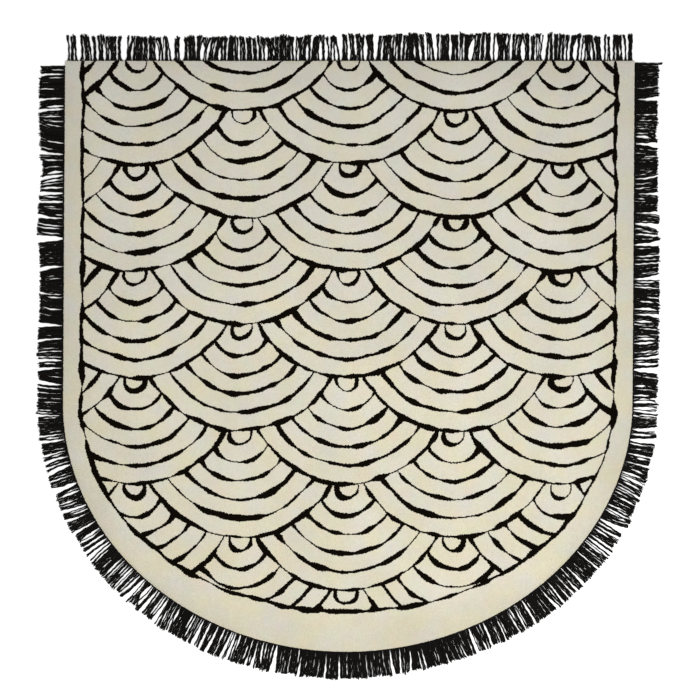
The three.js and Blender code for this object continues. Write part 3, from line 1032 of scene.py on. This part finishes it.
def yarn_paths(sizes, fringe, run, bare, rng):
    """The middle lines of a run's yarns, each a row of points from its root to its tip."""
    loose = LOOSENESS[run["edge"]]
    first, last = run["ends"]
    whole = edge_length(sizes, run["edge"], bare)
    length = whole * (last - first)
    t = np.linspace(0, 1, YARN_STEPS + 1)[None, :]
    lean = rng.normal(0, loose["lean"], (run["locks"], 1))
    parted = part_gaps(run, rng, t)
    middle, width, openness, reach_share = lay_locks(run, length, lean, parted, t)
    lock, start, end = part_bundles(middle, width, openness, loose, rng, t)
    bundle, rank, line, phase = fill_bundles(start, end, fringe, loose, rng, t)

    root = fringe.gap + (FOOT_GAP if run["edge"] == "top" else heading_width(fringe, run) / 2)
    place = first * whole + line[:, 0]
    reach = tip_reach(fringe, run, place, whole, lock[bundle], reach_share, rng)
    out = root + t * (reach - root)[:, None]
    aside = line - line[:, :1] + crimp_bundles(out, bundle, loose, rng, t)
    height = resting_height(fringe, out - root, rank, phase, t)

    points, outward, _ = edge_stations(sizes, run["edge"], np.clip(place / whole, 0, 1), bare)
    forward = turned_left(outward)
    plan = points[:, None] + outward[:, None] * out[..., None] + forward[:, None] * aside[..., None]
    return np.concatenate([plan, height[..., None]], axis=-1)


def hair_paths(fringe, centres, rng):
    """Short hairs that stand off the yarns' tips, this way and that."""
    count = len(centres)
    ahead = unit(centres[:, -1, :2] - centres[:, -2, :2])
    turn = rng.normal(0, HAIR["turn"], count)[:, None]
    away = np.cos(turn) * ahead + np.sin(turn) * turned_left(ahead)
    start = centres[:, -1].copy()
    start[:, :2] -= HAIR["back"] * ahead
    end = start.copy()
    end[:, :2] += fringe.hair * rng.uniform(*HAIR["share"], (count, 1)) * away
    end[:, 2] *= HAIR["fall"]
    return np.stack([start, end], axis=1)


def heading_width(fringe, run):
    return fringe.top_heading if run["edge"] == "top" else fringe.heading


def sew_heading(sizes, fringe, run, bare):
    """The strip that the yarns hang from, along the pile's edge."""
    strip, step, angle = tubes("heading", 1, HEADING_SIDES, HEADING_STEPS)
    first, last = run["ends"]
    shares = np.linspace(first, last, HEADING_STEPS + 1)
    points, outward, whole = edge_stations(sizes, run["edge"], shares, bare)
    half = heading_width(fringe, run) / 2
    tall = half * HEADING_HEIGHT
    plan = points + outward * (fringe.gap + half)
    along = turned_left(outward)
    plan[0] += along[0] * fringe.gap / 2
    plan[-1] -= along[-1] * fringe.gap / 2
    centres = np.column_stack([plan, np.full(len(plan), tall)])[None]
    even = np.ones((1, HEADING_STEPS + 1))
    shape_tubes(strip, step, angle, centres, half * even, tall * even)
    wrap_uv(strip.data, angle, [whole * (last - first) / HEADING_STEPS], step, [0.0])
    set_shade(strip.data, np.array([HEADING_SHADE]))
    return strip


def sew_hairs(fringe, centres, rng):
    """The loose ends of the yarns' fibres."""
    paths = hair_paths(fringe, centres, rng)
    count = len(paths)
    hairs, step, angle = tubes("hairs", count, HAIR_SIDES, 1)
    radius = np.tile(HAIR["radius"], (count, 1))
    shape_tubes(hairs, step, angle, paths, radius, radius)
    wrap_uv(hairs.data, angle, np.full(count, HAIR["length"]), step, np.zeros(count))
    set_shade(hairs.data, np.full(count, HAIR["shade"]))
    return hairs


def sew_run(sizes, fringe, run, bare, yarn, tape, rng):
    """One length of fringe: a heading and its loose yarns, joined. tape is what the heading is of."""
    centres = yarn_paths(sizes, fringe, run, bare, rng)
    count = len(centres)
    yarns, step, angle = tubes(run["node"] + "_yarns", count, YARN_SIDES, YARN_STEPS)
    thickness = fringe.yarn / 2 * rng.uniform(*YARN_THICKNESS, (count, 1))
    t = np.linspace(0, 1, YARN_STEPS + 1)[None, :]
    fray = 1 + LOOSENESS[run["edge"]]["fray"] * t ** FRAY_POWER
    shape_tubes(yarns, step, angle, centres, thickness * fray, YARN_FLATNESS * thickness)
    lengths = np.linalg.norm(np.diff(centres, axis=1), axis=-1).mean(axis=1)
    wrap_uv(yarns.data, angle, lengths, step, rng.uniform(0, TWIST_START, count))
    set_shade(yarns.data, rng.uniform(0.0, LIGHTEST_YARN, count))

    strip = sew_heading(sizes, fringe, run, bare)
    hairs = sew_hairs(fringe, centres, rng)
    bpy.ops.object.select_all(action="DESELECT")
    for piece, material in ((strip, tape), (hairs, yarn), (yarns, yarn)):
        piece.data.materials.append(material)
        piece.select_set(True)
    bpy.context.view_layer.objects.active = yarns
    bpy.ops.object.join()
    bpy.ops.object.shade_smooth_by_angle(angle=YARN_CREASE)
    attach(yarns, "root")
    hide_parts(run["node"])
    return yarns


def rim_stations(sizes, rng):
    """Where each tuft of the rim stands on the rug's edge, and which way is out there."""
    none_bare = {"corner": 0.0, "left": 0.0, "right": 0.0}
    jitter = TUFT_JITTER["spacing"]
    points, outward = [], []
    for edge in ("round", "right", "top", "left"):
        count = round(edge_length(sizes, edge, none_bare) / sizes.rim_tuft)
        shares = (np.arange(count) + 0.5 + rng.uniform(-jitter, jitter, count)) / count
        found = edge_stations(sizes, edge, shares, none_bare)
        points.append(found[0])
        outward.append(found[1])
    return np.concatenate(points), np.concatenate(outward)


def tuft_rim(sizes, seed, material):
    """The outermost tufts of the pile, which lean out over the edge."""
    rng = np.random.default_rng(seed)
    points, outward = rim_stations(sizes, rng)
    count = len(points)
    steps = len(RIM_TUFT["out"]) - 1
    along = turned_left(outward)
    out = RIM_TUFT["out"] + rng.normal(0, TUFT_JITTER["out"], (count, 1))
    rim_height = sizes.height - sizes.edge_fall
    high = RIM_TUFT["high"] * rim_height + rng.normal(0, TUFT_JITTER["high"], (count, 1))
    sway = rng.normal(0, TUFT_JITTER["sway"], (count, 1)) * np.linspace(0, 1, steps + 1)
    plan = points[:, None] + outward[:, None] * out[..., None] + along[:, None] * sway[..., None]

    rim, step, angle = tubes("pile_rim", count, TUFT_SIDES, steps)
    radius = RIM_TUFT["radius"] * sizes.rim_tuft * rng.uniform(*TUFT_JITTER["beside"], (count, 1))
    across = (radius[:, step] * np.cos(angle))[..., None] * along[:, None]
    deep = (radius[:, step] * np.sin(angle))[..., None] * outward[:, None]
    places = np.concatenate([plan[:, step] + across + deep, high[:, step, None]], axis=-1)
    set_places(rim.data, places.reshape(-1, 3))
    bpy.ops.object.shade_smooth_by_angle(angle=RIM_CREASE)
    # Painted highlight: each rim tuft is coloured lighter than the pile, a little unlike the next
    painted_highlight_tones = PAINTED_RIM_HIGHLIGHT * rng.uniform(*TUFT_JITTER["beside"], count)
    set_value(rim.data, "tone", np.repeat(painted_highlight_tones, len(step)))
    rim.data.materials.append(material)
    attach(rim, "root")


def lay_floor(scene):
    """A wide floor just under the rug, so that the two faces don't share a place."""
    just_under = 0.0002
    bpy.ops.object.select_all(action="DESELECT")
    bpy.ops.mesh.primitive_plane_add(size=80, location=(0, 0, 0))
    floor = bpy.context.object
    floor.name = "floor"
    places = vertex_places(floor.data)
    places[:, 2] = -just_under
    set_places(floor.data, places)
    floor.data.materials.append(floor_material(scene.rug_colours))


def hang_lights(scene):
    """An even white surround and one wide softbox, a little nearer to the lower right."""
    world = bpy.data.worlds.new("white surround")
    scene.world = world
    world.use_nodes = True
    background = world.node_tree.nodes["Background"]
    background.inputs["Color"].default_value = (1.0, 1.0, 1.0, 1.0)
    background.inputs["Strength"].default_value = 0.8

    light = bpy.data.lights.new("softbox", "AREA")
    light.shape = "SQUARE"
    light.size = 2.0
    light.energy = 90.0
    softbox = bpy.data.objects.new("softbox", light)
    scene.collection.objects.link(softbox)
    softbox.location = (0.52, -0.8, 2.9)
    softbox.rotation_euler = (-softbox.location).to_track_quat("-Z", "Y").to_euler()
    scene.view_settings.view_transform = "Standard"


def place_camera(scene):
    """Straight above, with +Y up the picture, far enough for the rug to fill it as in the photo."""
    pixels = 700  # across the picture and down it
    metres_across = 2.4608  # what they cover on the floor
    top_middle_across, top_edge_down = 349.9, 61.2  # pixels from the picture's upper left corner
    metre_per_pixel = metres_across / pixels
    rug_middle = PILE_HIGH.x - scene.rug_sizes.width / 2
    camera = bpy.data.cameras.new("camera")
    camera.lens = 85
    camera.sensor_width = 36
    above = bpy.data.objects.new("camera", camera)
    scene.collection.objects.link(above)
    above.location = (
        rug_middle + (pixels / 2 - top_middle_across) * metre_per_pixel,
        PILE_HIGH.y - (pixels / 2 - top_edge_down) * metre_per_pixel,
        metres_across * camera.lens / camera.sensor_width,
    )
    scene.camera = above


class RUG_OT_set_stage(bpy.types.Operator):
    """Set a plain white floor, soft light from above and a camera that looks straight down"""

    bl_idname = "rug.set_stage"
    bl_label = "Set the Stage"
    bl_options = {"REGISTER", "UNDO"}

    def execute(self, context):
        lay_floor(context.scene)
        hang_lights(context.scene)
        place_camera(context.scene)
        return {"FINISHED"}


class RUG_OT_lay_pile(bpy.types.Operator):
    """Make the pile and its backing as one sheet"""

    bl_idname = "rug.lay_pile"
    bl_label = "Lay the Pile"
    bl_options = {"REGISTER", "UNDO"}

    def execute(self, context):
        scene = context.scene
        lay_pile(scene.rug_sizes, scene.rug_pattern, scene.rug_colours)
        return {"FINISHED"}


class RUG_OT_tuft_rim(bpy.types.Operator):
    """Make the outermost tufts, which lean over the pile's edge"""

    bl_idname = "rug.tuft_rim"
    bl_label = "Tuft the Rim"
    bl_options = {"REGISTER", "UNDO"}

    def execute(self, context):
        scene = context.scene
        wool = bpy.data.objects["pile"].data.materials[0]
        tuft_rim(scene.rug_sizes, scene.rug_fringe.seed, wool)
        return {"FINISHED"}


class RUG_OT_sew_fringe(bpy.types.Operator):
    bl_idname = "rug.sew_fringe"
    bl_label = "Sew the Fringe"
    bl_options = {"REGISTER", "UNDO"}

    def execute(self, context):
        scene = context.scene
        sizes, fringe = scene.rug_sizes, scene.rug_fringe
        pile, rim = bpy.data.objects["pile"], bpy.data.objects["pile_rim"]
        bare = {"corner": fringe.corner, "left": fringe.left_start, "right": fringe.right_start}
        rng = np.random.default_rng(fringe.seed)
        yarn, backing = yarn_material(scene.rug_colours), pile.data.materials[1]
        tapes = {"top": backing, "left": yarn, "right": yarn, "round": yarn}
        sewn = [sew_run(sizes, fringe, run, bare, yarn, tapes[run["edge"]], rng) for run in RUNS]
        return {"FINISHED"}


class RUG_PT_panel(bpy.types.Panel):
    """The rug's steps and sizes in the sidebar"""

    bl_idname = "RUG_PT_panel"
    bl_label = "Fringed Rug"
    bl_space_type = "VIEW_3D"
    bl_region_type = "UI"
    bl_category = "Rug"

    def draw(self, context):
        for operator in OPERATORS:
            self.layout.operator(operator.bl_idname)
        for name, group in SETTINGS.items():
            box = self.layout.box()
            box.label(text=group.__doc__)
            for field in group.__annotations__:
                box.prop(getattr(context.scene, name), field)


OPERATORS = (RUG_OT_set_stage, RUG_OT_lay_pile, RUG_OT_tuft_rim, RUG_OT_sew_fringe)
SETTINGS = {
    "rug_sizes": RugSizes,
    "rug_fringe": FringeSizes,
    "rug_pattern": LinePattern,
    "rug_colours": RugColours,
}


def register():
    for name, group in SETTINGS.items():
        bpy.utils.register_class(group)
        setattr(bpy.types.Scene, name, bpy.props.PointerProperty(type=group))
    for operator in OPERATORS:
        bpy.utils.register_class(operator)
    bpy.utils.register_class(RUG_PT_panel)


def unregister():
    bpy.utils.unregister_class(RUG_PT_panel)
    for operator in reversed(OPERATORS):
        bpy.utils.unregister_class(operator)
    for name, group in reversed(SETTINGS.items()):
        delattr(bpy.types.Scene, name)
        bpy.utils.unregister_class(group)


def main():
    register()
    bpy.ops.rug.set_stage()
    bpy.ops.rug.lay_pile()
    bpy.ops.rug.tuft_rim()
    bpy.ops.rug.sew_fringe()


if __name__ == "__main__":
    main()
